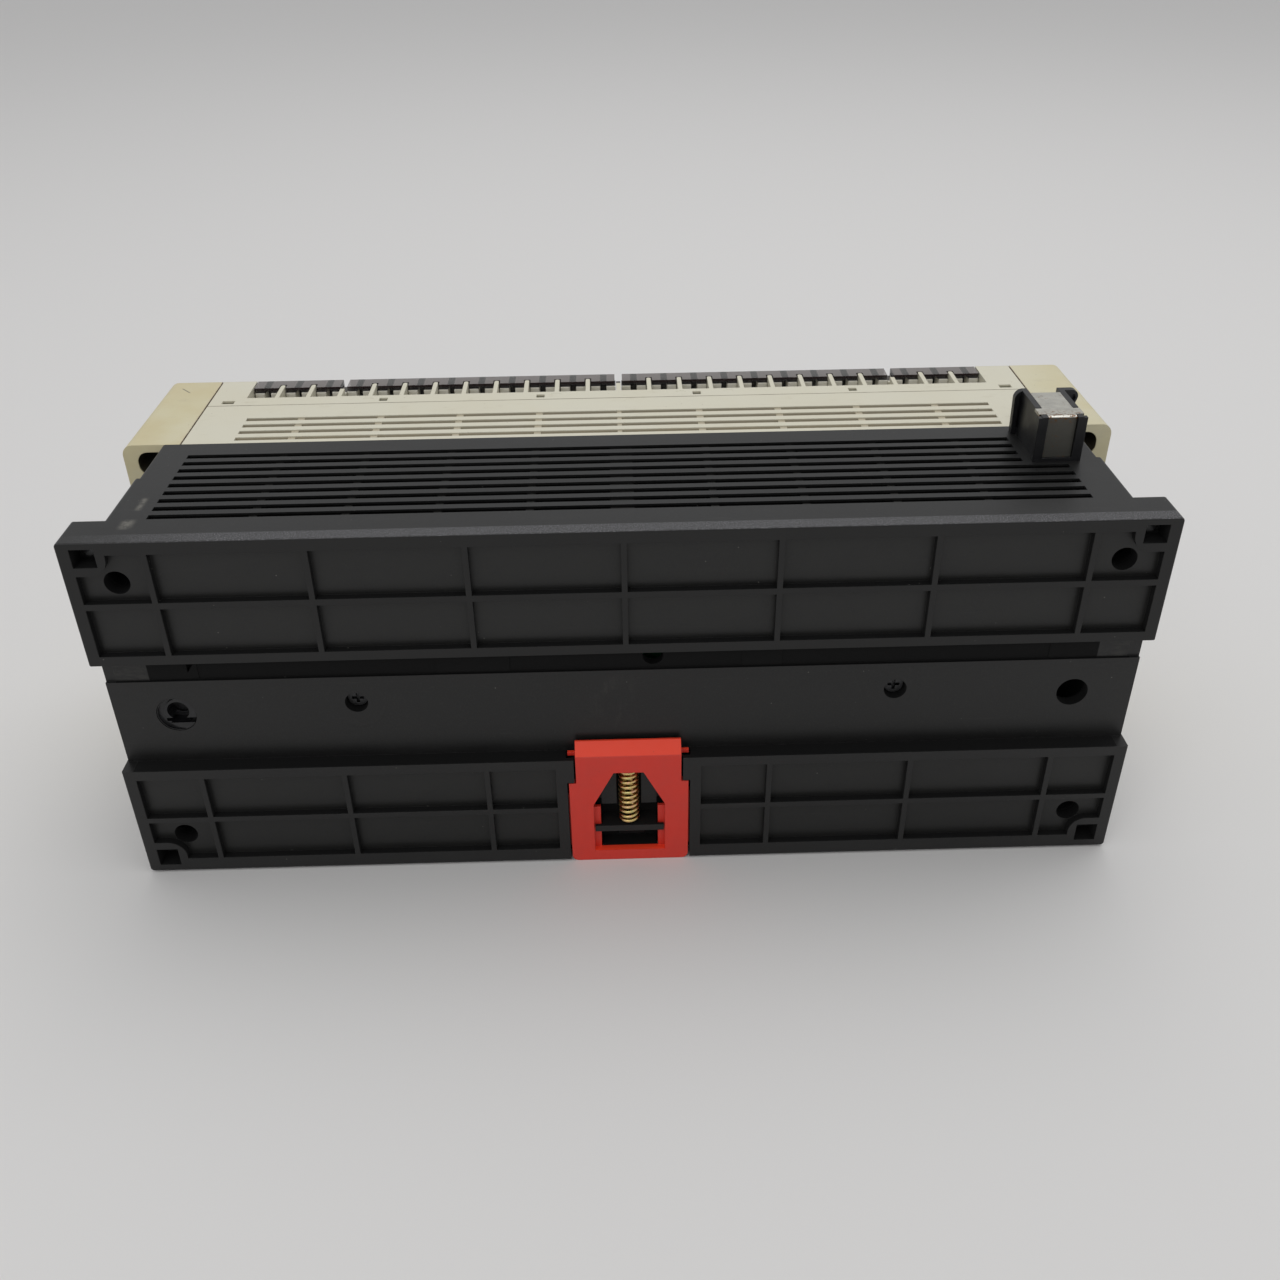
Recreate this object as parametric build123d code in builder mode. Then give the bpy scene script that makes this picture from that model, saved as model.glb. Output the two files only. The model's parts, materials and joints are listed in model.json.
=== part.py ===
"""Brick-type programmable controller for a 35 mm mounting rail.

The controller stands on its long bottom side. +X runs along it to the right as seen from the back,
+Y points from the back (rail side) to the front, +Z is up. The origin is under the middle of the box.
Depths are measured forwards from the rear face with rear_y(), all in millimetres.
"""
import os

from build123d import *

os.makedirs("parts", exist_ok=True)

# ---------------------------------------------------------------- driving dimensions
width = 285.8              # rear flange
height = 111.0
depth = 110.0
cap_width = 290.4          # over the end caps
body_half = 134.3          # dark body beside the flange
body_neck = 133.2          # and where it goes in between the end caps
neck_depth = 37.5
flange_low = 0.5           # the flange ends a little above the bottom of the body
flange_depth = 12.2
body_depth = 60.1          # where the dark base ends and the cream front begins
wall = 2.8
cover_half = 127.9         # cream cover, up to the end caps
seam_depth = 89.0          # front cover meets front panel

rail_step = 5.2            # depth of the rail channel
channel_seat = 9.4         # where the heads of the channel screws rest
groove_depth = 6.0
channel_low, channel_step, channel_high = 38.0, 65.1, 74.1
groove_top = 76.8          # the rail's upper edge goes up to here
lip_thickness = 3.4

pitch = 9.78               # terminal pitch
cells = 24                 # terminals in a row
divider = 1.4
trough_half = 116.9

screw_x, screw_top, screw_low = 130.5, 98.2, 12.9        # assembly screws
mount_x, mount_top, mount_low = 136.9, 106.4, 5.8        # direct-mount holes
screw_seat = 20.0          # where the heads of the assembly screws rest

latch_bay_half, latch_neck_half = 17.7, 15.6
shoulder = 29.9            # the bay narrows above this level
bay_floor, spring_y = 7.4, 4.0
spring_low, spring_high = 12.7, 33.0
boss_low, boss_high, boss_half, boss_y = 18.5, 36.8, 8.1, 4.1      # raised floor behind the latch window
latch_rail_high, latch_lip_high, bay_high = 16.4, 19.0, 20.0
spring_channel = 3.6       # half width

power_board_y, main_board_y, panel_board_y, terminal_board_y = 18.0, 56.0, 97.0, 82.4
board_thickness = 1.6

post_places = [(x, z) for x in (-110, 0, 110) for z in (22, 89)]

bus_x = 120.6              # middle of the bus connector
switch_x = 97.0            # middle of the mode switch


# ---------------------------------------------------------------- helpers
def rear_y(distance):
    """Y of a plane that lies this far in front of the rear face."""
    return distance - depth / 2


def back_view(distance=0.0):
    """Sketch plane seen from the back: local x is X, local y is Z, a negative extrusion goes forwards."""
    return Plane(origin=(0, rear_y(distance), 0), x_dir=(1, 0, 0), z_dir=(0, -1, 0))


def side_view(x=0.0):
    """Sketch plane seen from +X: local x is Y, local y is Z, a positive extrusion goes to +X."""
    return Plane(origin=(x, 0, 0), x_dir=(0, 1, 0), z_dir=(1, 0, 0))


def block(x0, x1, y0, y1, z0, z1, mode=Mode.ADD):
    """Rectangular block between two corners, with y measured from the rear face."""
    with Locations(((x0 + x1) / 2, rear_y((y0 + y1) / 2), (z0 + z1) / 2)):
        Box(abs(x1 - x0), abs(y1 - y0), abs(z1 - z0), mode=mode)


def rod(x, z, y0, y1, radius, mode=Mode.ADD):
    """Round bar or hole along Y, with y measured from the rear face."""
    with Locations(Location((x, rear_y((y0 + y1) / 2), z), (90, 0, 0))):
        Cylinder(radius, abs(y1 - y0), mode=mode)


def cross_rod(x0, x1, y, z, radius, mode=Mode.ADD):
    """Round bar or hole along X."""
    with Locations(Location(((x0 + x1) / 2, rear_y(y), z), (0, 90, 0))):
        Cylinder(radius, abs(x1 - x0), mode=mode)


def rectangle(u0, u1, v0, v1, mode=Mode.ADD):
    """Rectangle between two corners of the sketch."""
    with Locations(((u0 + u1) / 2, (v0 + v1) / 2)):
        Rectangle(abs(u1 - u0), abs(v1 - v0), mode=mode)


def level(z, row):
    """Height of a feature in the top row, or of its mirror image in the bottom row."""
    return z if row == "top" else height - z


def save(name, part):
    """Label one piece and write it."""
    part.label = name
    export_step(part, f"parts/{name}.step")
    print(f"{name:28s} solids {len(part.solids()):3d}  volume {part.volume:10.1f}")


def corners():
    """The four (x side, screw height, mounting hole height) corners."""
    return [(side, screw_z, mount_z) for side in (-1, 1)
            for screw_z, mount_z in ((screw_top, mount_top), (screw_low, mount_low))]


# ---------------------------------------------------------------- base housing
rib, pocket_depth, pocket_edge, recess_depth = 1.5, 2.3, 139.5, 6.0
rib_pitch = 40.4
corner_r = 1.1
pocket_rows = ((93.1, 107.4), (76.9, 91.3), (20.75, 34.9), (5.1, 19.1))
vent_first, vent_pitch, vent_width, vent_rows = 13.8, 4.67, 2.35, 9
vent_bar, vent_bar_first, vent_bar_pitch = 2.1, 24.35, 24.05
vent_end, vent_short_end = 123.4, 111.6
vent_groove = 0.9          # the bars between the slots lie this far below the surface


def vent_spans(end_left, end_right):
    """X spans of one row of slots between its bars."""
    edges = [3.15] + [vent_bar_first + vent_bar_pitch * i for i in range(4)]
    spans = []
    for side, end in ((-1, end_left), (1, end_right)):
        starts = [edges[0]] + [edge + vent_bar / 2 for edge in edges[1:]]
        stops = [edge - vent_bar / 2 for edge in edges[1:]] + [end]
        spans += [(side * start, side * stop) for start, stop in zip(starts, stops)]
    return spans


with BuildPart() as base_housing:
    with BuildSketch(back_view(0)):
        with Locations((0, (height + flange_low) / 2)):
            RectangleRounded(width, height - flange_low, corner_r)
    extrude(amount=-flange_depth)
    for half, start, stop in ((body_half, flange_depth, neck_depth), (body_neck, neck_depth, body_depth)):
        with BuildSketch(back_view(start)):
            with Locations((0, height / 2)):
                RectangleRounded(2 * half, height, corner_r)
        extrude(amount=-(stop - start))
    fillet(base_housing.edges().filter_by(Axis.X).group_by(Axis.Y)[0], 0.5)

    # rail channel, with the undercut behind its upper lip
    with BuildSketch(side_view(-width / 2 - 1)):
        rectangle(rear_y(-1), rear_y(rail_step), channel_low, channel_high)
        rectangle(rear_y(rail_step - 0.1), rear_y(groove_depth), channel_step, channel_high)
        rectangle(rear_y(lip_thickness), rear_y(groove_depth), channel_step, groove_top)
    extrude(amount=width + 2, mode=Mode.SUBTRACT)

    # inside of the box, open at the front
    block(-130.6, 130.6, 8.7, body_depth + 1, wall, height - wall, mode=Mode.SUBTRACT)
    block(-128, 128, 5.4, 9, 79.5, height - wall, mode=Mode.SUBTRACT)
    for side in (-1, 1):
        block(side * 24, side * 128, 5.4, 9, wall, 34.5, mode=Mode.SUBTRACT)

    # shallow pockets between the ribs of the rear face
    with BuildSketch(back_view(0)):
        for row, (low, high) in enumerate(pocket_rows):
            inner = 20.8 if row > 1 else rib / 2
            for side in (-1, 1):
                starts = [inner] + [rib_pitch * i + rib / 2 for i in (1, 2, 3)]
                stops = [rib_pitch * i - rib / 2 for i in (1, 2, 3)] + [pocket_edge]
                for start, stop in zip(starts, stops):
                    rectangle(side * start, side * stop, low, high)
        for side in (-1, 1):
            with Locations((side * 137.9, 108.4), (side * 137.9, 4.4)):
                RectangleRounded(14, 14, 4.9, mode=Mode.SUBTRACT)
    extrude(amount=-pocket_depth, mode=Mode.SUBTRACT)

    # direct-mount holes in square corner recesses, and holes for the assembly screws
    for side, screw_z, mount_z in corners():
        recess = (103.9, 109.2) if mount_z > height / 2 else (2.9, 8.9)
        block(side * 133.3, side * 139.5, -1, recess_depth, *recess, mode=Mode.SUBTRACT)
        rod(side * mount_x, mount_z, 0, flange_depth + 1, 2.25, mode=Mode.SUBTRACT)
        block(side * 125.4, side * 131.5, 8.7, body_depth, screw_z - 5, screw_z + 5)
        rod(side * screw_x, screw_z, -1, screw_seat, 3.35, mode=Mode.SUBTRACT)
        rod(side * screw_x, screw_z, screw_seat - 1, body_depth + 1, 1.9, mode=Mode.SUBTRACT)

    # floor of the rail channel
    for side in (-1, 1):
        rod(side * 125.5, 53.9, rail_step - 1, 9, 4.4, mode=Mode.SUBTRACT)
        rod(side * 75.2, 56.5, 8.6, power_board_y, 4.4)
        rod(side * 75.2, 56.5, rail_step - 1, channel_seat, 3.2, mode=Mode.SUBTRACT)
        rod(side * 75.2, 56.5, channel_seat - 1, power_board_y + 1, 1.6, mode=Mode.SUBTRACT)
        # the ends of the channel are set back a little
        block(side * 142.5, side * 144, -1, flange_depth + 1, channel_low, groove_top - 2.6, mode=Mode.SUBTRACT)
    rod(-125.5, 53.9, rail_step - 1, 6.4, 5.5, mode=Mode.SUBTRACT)
    rod(7.4, 69.3, groove_depth - 1, 9, 2.9, mode=Mode.SUBTRACT)
    for x0, x1 in ((-139.7, -117.0), (-52.0, -32.0), (32.0, 43.0), (117.0, 139.0)):
        block(x0, x1, groove_depth - 0.2, groove_depth + 0.2, channel_step + 0.3, groove_top)
    with BuildSketch(back_view(groove_depth - 0.3)):
        with BuildLine():
            Polyline((-119.8, 70.2), (-117.9, 70.2), (-119.8, 67.5), close=True)
        make_face()
    extrude(amount=-1.6, mode=Mode.SUBTRACT)

    # latch bay with its side guides, ear notches, raised middle and the spring seat
    block(-latch_bay_half, latch_bay_half, -1, 5.0, -1, shoulder, mode=Mode.SUBTRACT)
    block(-12.8, 12.8, 4, bay_floor, -1, bay_high, mode=Mode.SUBTRACT)
    block(-latch_neck_half, latch_neck_half, -1, 5.0, shoulder - 1, channel_low + 1, mode=Mode.SUBTRACT)
    for side in (-1, 1):
        block(side * 14, side * 17.8, 1.5, 5.0, 32.2, channel_low + 1, mode=Mode.SUBTRACT)
        block(side * 17, side * 19.2, 2.2, 5.0, -1, 24.6, mode=Mode.SUBTRACT)
    block(-boss_half, boss_half, boss_y, bay_floor + 0.4, boss_low, boss_high)
    block(-spring_channel, spring_channel, 1, bay_floor, spring_low, boss_high, mode=Mode.SUBTRACT)
    block(-8.0, 8.0, 3.2, bay_floor + 0.4, flange_low, 3.4)
    block(-3.2, 4.3, 6.4, bay_floor + 0.4, 4.8, 9.4)
    block(-8.0, 8.0, 1.0, bay_floor + 0.4, spring_low - 2.1, spring_low)
    block(-10.1, 10.1, 0.9, 1.8, spring_low - 2.1, spring_low)
    with Locations((0, rear_y(spring_y), spring_low + 1.2)):
        Cylinder(1.8, 2.4)

    # cooling slots through the top and the bottom
    for z, towards in ((height, -1), (0, 1)):
        with BuildSketch(Plane.XY.offset(z)):
            for i in range(vent_rows):
                middle = rear_y(vent_first + vent_pitch * i)
                end = vent_short_end if i >= 5 and z > 0 else vent_end
                for start, stop in vent_spans(vent_end, end):
                    rectangle(start, stop, middle - vent_width / 2, middle + vent_width / 2)
        extrude(amount=towards * (wall + 1), mode=Mode.SUBTRACT)
        with BuildSketch(Plane.XY.offset(z)):
            for i in range(vent_rows):
                middle = rear_y(vent_first + vent_pitch * i)
                end = vent_short_end if i >= 5 and z > 0 else vent_end
                rectangle(-vent_end, end, middle - vent_width / 2, middle + vent_width / 2)
        extrude(amount=towards * vent_groove, mode=Mode.SUBTRACT)

    # slot under the bus connector, and posts for the power board
    block(bus_x - 3.3, bus_x + 3.3, 38.0, 45.0, height - wall - 1, height + 1, mode=Mode.SUBTRACT)
    for x, z in post_places:
        rod(x, z, bay_floor + 0.4 if (x, z) == (0, 22) else 5.3, power_board_y, 3.2)
        rod(x, z, 10.5, power_board_y + 1, 1.3, mode=Mode.SUBTRACT)
save("base_housing", base_housing.part)

# ---------------------------------------------------------------- rail latch, its spring, small rear pieces
plate_back, plate_front, nose_front = 0.2, 2.5, 3.9

with BuildPart() as din_latch:
    with BuildSketch(back_view(plate_back)):
        rectangle(-17.2, 17.2, 0.1, shoulder - 0.4)
        rectangle(-15.1, 15.1, shoulder - 0.5, 38.8)
    extrude(amount=-(plate_front - plate_back))
    fillet(din_latch.edges().filter_by(Axis.Y).group_by(Axis.Z)[0], 2.0)
    with BuildSketch(side_view(-15.1)):
        with BuildLine():
            Polyline((rear_y(plate_back), 34.5), (rear_y(plate_back), 38.8), (rear_y(3.3), 42.4),
                     (rear_y(nose_front), 42.4), (rear_y(nose_front), 34.5), close=True)
        make_face()
    extrude(amount=30.2)
    # window for the spring, five-sided like a house
    with BuildSketch(back_view(0)):
        with BuildLine():
            Polyline((-10.4, 3.7), (10.4, 3.7), (10.4, 21.2), (4.3, spring_high), (-4.3, spring_high),
                     (-10.4, 21.2), close=True)
        make_face()
    extrude(amount=-8, mode=Mode.SUBTRACT)
    for side in (-1, 1):
        block(side * 8.4, side * 12.4, plate_front - 0.3, 6.4, 3.7, latch_rail_high)
        block(side * 8.4, side * 12.4, plate_front - 0.3, plate_front + 0.7, 3.7, latch_lip_high)
        block(side * 15.0, side * 17.3, 2.5, 3.4, 38.0, 39.2)
        block(side * 17.0, side * 18.7, 2.7, 4.4, 4.0, 24.0)
        block(side * 15.0, side * 17.2, plate_front - 0.1, 4.4, 4.0, 24.0)
    # spring seat at the top of the window
    block(-3.3, 3.3, plate_back, 6.9, spring_high, spring_high + 3.0)
    with Locations((0, rear_y(spring_y), spring_high - 1.1)):
        Cylinder(1.8, 2.4)
save("din_latch", din_latch.part)

spring_turns, wire_r, spring_mean_r = 11.5, 0.48, 2.6
with BuildPart() as latch_spring:
    spring_pitch = (spring_high - spring_low - 2 * wire_r - 0.1) / spring_turns
    with BuildLine() as coil_line:
        Helix(spring_pitch, spring_pitch * spring_turns, spring_mean_r,
              center=(0, rear_y(spring_y), spring_low + wire_r + 0.05))
    with BuildSketch(Plane(origin=coil_line.line @ 0, z_dir=coil_line.line % 0)):
        Circle(wire_r)
    sweep()
save("latch_spring", latch_spring.part)

with BuildPart() as rail_plug:
    rod(-125.5, 53.9, 5.4, 6.4, 5.4)
    rod(-125.5, 53.9, 6.4, 11.0, 4.3)
    # deep round hole over a slot that runs out to the right, and a crescent at the left
    rod(-124.9, 55.0, 5, 10.4, 3.0, mode=Mode.SUBTRACT)
    block(-128.9, -120.2, 5, 9.4, 51.0, 52.7, mode=Mode.SUBTRACT)
    with BuildSketch(back_view(5.4)):
        with Locations((-125.5, 53.9)):
            Circle(5.2)
        with Locations((-123.7, 54.2)):
            Circle(5.1, mode=Mode.SUBTRACT)
    extrude(amount=-0.8, mode=Mode.SUBTRACT)
save("rail_plug", rail_plug.part)


def screw(x, z, seat, tip, head_r, shank_r, head_h=2.0):
    """Pan-head screw from the back, with a crossed recess; its head rests on the plane at seat."""
    rod(x, z, seat - head_h, seat, head_r)
    rod(x, z, seat, tip, shank_r)
    arm = head_r * 0.62
    block(x - arm, x + arm, seat - head_h - 0.1, seat - head_h + 1.1, z - 0.45, z + 0.45, mode=Mode.SUBTRACT)
    block(x - 0.45, x + 0.45, seat - head_h - 0.1, seat - head_h + 1.1, z - arm, z + arm, mode=Mode.SUBTRACT)


with BuildPart() as assembly_screws:
    for side, screw_z, _ in corners():
        screw(side * screw_x, screw_z, screw_seat, body_depth + 8, 2.9, 1.5)
save("assembly_screws", assembly_screws.part)

with BuildPart() as channel_screws:
    for side in (-1, 1):
        screw(side * 75.2, 56.5, channel_seat, power_board_y + 5, 2.7, 1.45, head_h=1.8)
save("channel_screws", channel_screws.part)

with BuildPart() as channel_nuts:
    for side in (-1, 1):
        with BuildSketch(back_view(power_board_y + board_thickness)):
            with Locations((side * 75.2, 56.5)):
                RegularPolygon(3.1, 6)
                Circle(1.5, mode=Mode.SUBTRACT)
        extrude(amount=-2.4)
save("channel_nuts", channel_nuts.part)

# ---------------------------------------------------------------- cream front cover
cream_vent_first, cream_vent_pitch, cream_vent_rows, cream_vent_end = 63.2, 4.8, 4, 112.9
cream_vent_width, cream_groove = 2.2, 0.4
catches = ((24.5, 2.5), (73.6, 2.6), (121.9, 3.8))       # x and width of the snap windows
window_low, window_high = 90.5, 92.9                     # the windows, from the rear face

with BuildPart() as front_cover:
    with BuildSketch(back_view(body_depth)):
        rectangle(-cover_half, cover_half, 0, height)
        rectangle(-cover_half + 2.5, cover_half - 2.5, wall, height - wall, mode=Mode.SUBTRACT)
    extrude(amount=-(seam_depth - body_depth))
    for row in ("top", "bottom"):
        # tongue inside the dark base, and the catches that snap into the front panel
        inside = height - wall - 0.1
        block(-118, 118, body_depth - 2.6, body_depth + 4, level(inside, row), level(inside - 2.1, row))
        block(-118, 118, body_depth + 0.1, body_depth + 4, level(inside + 0.2, row), level(inside - 1, row))
        for side in (-1, 1):
            for x, catch_width in catches:
                half = catch_width / 2 - 0.25
                block(side * x - half, side * x + half, seam_depth - 4, window_high,
                      level(inside, row), level(inside - 1.5, row))
                block(side * x - half, side * x + half, seam_depth - 4, seam_depth - 0.1,
                      level(inside + 0.2, row), level(inside - 1.5, row))
                block(side * x - half, side * x + half, window_low + 0.2, window_high - 0.3,
                      level(height - 0.9, row), level(inside - 0.5, row))
        with BuildSketch(Plane.XY.offset(level(height, row))):
            for i in range(cream_vent_rows):
                middle = rear_y(cream_vent_first + cream_vent_pitch * i)
                for start, stop in vent_spans(cream_vent_end, cream_vent_end):
                    first = 0.7 if abs(start) < 4 else abs(start)
                    rectangle(first * (1 if start > 0 else -1), stop, middle - cream_vent_width / 2,
                              middle + cream_vent_width / 2)
        extrude(amount=(wall + 0.5) * (-1 if row == "top" else 1), mode=Mode.SUBTRACT)
        for i in range(cream_vent_rows):
            middle = cream_vent_first + cream_vent_pitch * i
            block(-cream_vent_end, cream_vent_end, middle - cream_vent_width / 2, middle + cream_vent_width / 2,
                  level(height + 1, row), level(height - cream_groove, row), mode=Mode.SUBTRACT)
        # shallow step along both ends, which reads as the joint line to the end caps
        for side in (-1, 1):
            block(side * (cover_half - 0.25), side * (cover_half + 1), body_depth - 1, seam_depth + 1,
                  level(height - 0.6, row), level(height + 1, row), mode=Mode.SUBTRACT)
    # the seam towards the front panel stands slightly open
    for row in ("top", "bottom"):
        block(-cover_half - 1, cover_half + 1, seam_depth - 0.25, seam_depth + 1, level(height + 1, row),
              level(height - 0.6, row), mode=Mode.SUBTRACT)
save("front_cover", front_cover.part)

# ---------------------------------------------------------------- front panel with both terminal troughs
panel_low, panel_high = 27.8, 83.2            # raised middle of the front
strip_front = 95.1                            # rear wall of the trough
comb_back, comb_front = 102.9, 108.2          # posts under the terminal covers
divider_front = 104.7                         # centre of the dividers' round front edge
lid_sweep = 4.4                               # room around the hinge axis for the turning covers
hinge_y, hinge_z, pin_r = 106.6, 88.0, 1.1    # terminal cover hinge, top row
lid_spans = ((-116.6, -89.1), (-86.9, -1.2), (1.2, 86.9), (89.1, 116.6))
pillars = (-9 * pitch, 0.0, 9 * pitch)
divider_places = [pitch * i for i in range(1 - cells // 2, cells // 2) if i not in (-9, 0, 9)]
led_x0, led_x1 = -112.0, 30.0
door_hinge_x, door_hinge_y, barrel_r, door_pin_r = 41.7, 108.6, 1.4, 0.8


def lug_spans(span):
    """X spans of the two hinge lugs inside one terminal cover."""
    x0, x1 = span
    return ((x0 + 1.5, x0 + 3.7), (x1 - 3.7, x1 - 1.5))


with BuildPart() as front_panel:
    with BuildSketch(back_view(seam_depth)):
        for row in ("top", "bottom"):
            rectangle(-cover_half, cover_half, level(height, row), level(height - wall, row))
    extrude(amount=-(strip_front - seam_depth))
    for side in (-1, 1):
        # solid ends beside the troughs
        block(side * trough_half, side * cover_half, seam_depth, depth - 0.6, 0, height)
        block(side * (trough_half + 2.4), side * (cover_half - 2.4), seam_depth - 1, depth - 3, wall,
              height - wall, mode=Mode.SUBTRACT)
        for row in ("top", "bottom"):
            block(side * (cover_half - 0.25), side * (cover_half + 1), seam_depth - 1, depth,
                  level(height - 0.6, row), level(height + 1, row), mode=Mode.SUBTRACT)
    # raised middle, open at the back
    block(-trough_half - 1, trough_half + 1, seam_depth + 1, depth, panel_low, panel_high)
    block(-trough_half + 1.4, trough_half - 1.4, seam_depth, depth - 2.6, panel_low + 2.4, panel_high - 2.4,
          mode=Mode.SUBTRACT)
    for row in ("top", "bottom"):
        z_top, z_low = level(height, row), level(panel_high - 0.5, row)
        with BuildSketch(Plane.XY.offset(z_low)):
            for x in divider_places:
                rectangle(x - divider / 2, x + divider / 2, rear_y(strip_front - 0.5), rear_y(divider_front))
                with Locations((x, rear_y(divider_front))):
                    Circle(divider / 2)
        extrude(amount=z_top - z_low)
        for x in pillars:
            block(x - divider / 2, x + divider / 2, strip_front - 0.5, 101.4, z_top, z_low)
            block(x - divider / 2, x + divider / 2, 101, 108.0, level(109.0, row), z_low)
        cross_rod(-trough_half, trough_half, hinge_y, level(hinge_z, row), lid_sweep, mode=Mode.SUBTRACT)
        # wire comb: a bar with two posts in each cell
        block(-trough_half, trough_half, comb_back, comb_front, level(105.0, row), level(102.6, row))
        with BuildSketch(back_view(comb_back)):
            for i in range(cells):
                cell = pitch * (i - cells / 2)
                for start, stop in ((1.0, 3.9), (5.95, 8.85)):
                    rectangle(max(cell + start, -trough_half), min(cell + stop, trough_half),
                              level(104.8, row), level(109.2, row))
        extrude(amount=-(comb_front - comb_back))
        # lugs that carry the terminal covers
        for span in lid_spans:
            for x0, x1 in lug_spans(span):
                block(x0, x1, 103.0, 108.3, level(panel_high - 0.4, row), level(hinge_z + 1.6, row))
                cross_rod(x0 - 1, x1 + 1, hinge_y, level(hinge_z, row), pin_r + 0.06, mode=Mode.SUBTRACT)
        # snap windows in the strip
        for side in (-1, 1):
            for x, catch_width in catches:
                block(side * x - catch_width / 2, side * x + catch_width / 2, window_low, window_high,
                      level(height + 1, row), level(height - wall - 1, row), mode=Mode.SUBTRACT)
    # windows, door opening and switch slot in the raised middle
    for z0, z1 in ((66.0, 76.0), (35.0, 45.0)):
        block(led_x0, led_x1, depth - 3, depth + 1, z0, z1, mode=Mode.SUBTRACT)
    block(40.0, 84.0, depth - 3, depth + 1, 34.0, 77.0, mode=Mode.SUBTRACT)
    block(83.5, 87.0, depth - 1.2, depth + 1, 50.0, 61.0, mode=Mode.SUBTRACT)
    for z0, z1 in ((30.6, 34.0), (77.0, 80.4)):
        block(39.0, 44.4, 105.6, depth, z0, z1)
        with Locations((door_hinge_x, rear_y(door_hinge_y), (z0 + z1) / 2)):
            Cylinder(door_pin_r + 0.06, 4.0, mode=Mode.SUBTRACT)
    block(switch_x - 3.6, switch_x + 3.6, depth - 3, depth + 1, 38.0, 52.0, mode=Mode.SUBTRACT)
    for i in range(4):
        rod(switch_x, 60.0 + 5.5 * i, depth - 3, depth + 1, 1.6, mode=Mode.SUBTRACT)
save("front_panel", front_panel.part)

# ---------------------------------------------------------------- end caps
cap_front = depth - 0.6
tunnel = (133.8, 141.2, 101.3, 108.7)         # x and z of the screwdriver tunnel, top row

for name, side in (("end_cap_left", -1), ("end_cap_right", 1)):
    with BuildPart() as end_cap:
        block(side * (cover_half + 0.05), side * cap_width / 2, body_depth, cap_front, 0, height)
        outer = end_cap.edges().filter_by(Axis.Y).sort_by(Axis.X)
        fillet(outer[-2:] if side > 0 else outer[:2], 3.2)
        block(side * (cover_half - 1), side * (cap_width / 2 - 2.4), body_depth + 2.4, cap_front - 2.4,
              2.4, height - 2.4, mode=Mode.SUBTRACT)
        for row in ("top", "bottom"):
            x0, x1, z0, z1 = tunnel
            block(side * (x0 - 1.6), side * (x1 + 1.8), body_depth, cap_front,
                  level(z0 - 1.6, row), level(z1 + 1.2, row))
            with BuildSketch(back_view(body_depth - 1)):
                with Locations((side * (x0 + x1) / 2, level((z0 + z1) / 2, row))):
                    RectangleRounded(x1 - x0, z1 - z0, 3.2)
                rectangle(side * x0, side * (x0 + 3.5), level(z0, row), level(z1, row))
            extrude(amount=-(cap_front - body_depth + 2), mode=Mode.SUBTRACT)
            screw_z = screw_top if row == "top" else screw_low
            block(side * (cover_half + 0.05), side * 134.2, body_depth, body_depth + 12, screw_z - 3.6,
                  screw_z + 3.6)
            rod(side * screw_x, screw_z, body_depth - 1, body_depth + 10, 1.55, mode=Mode.SUBTRACT)
    save(name, end_cap.part)

# ---------------------------------------------------------------- terminal rows
block_front, plate_y = 94.5, 0.9
block_half = trough_half - 0.2

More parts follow.
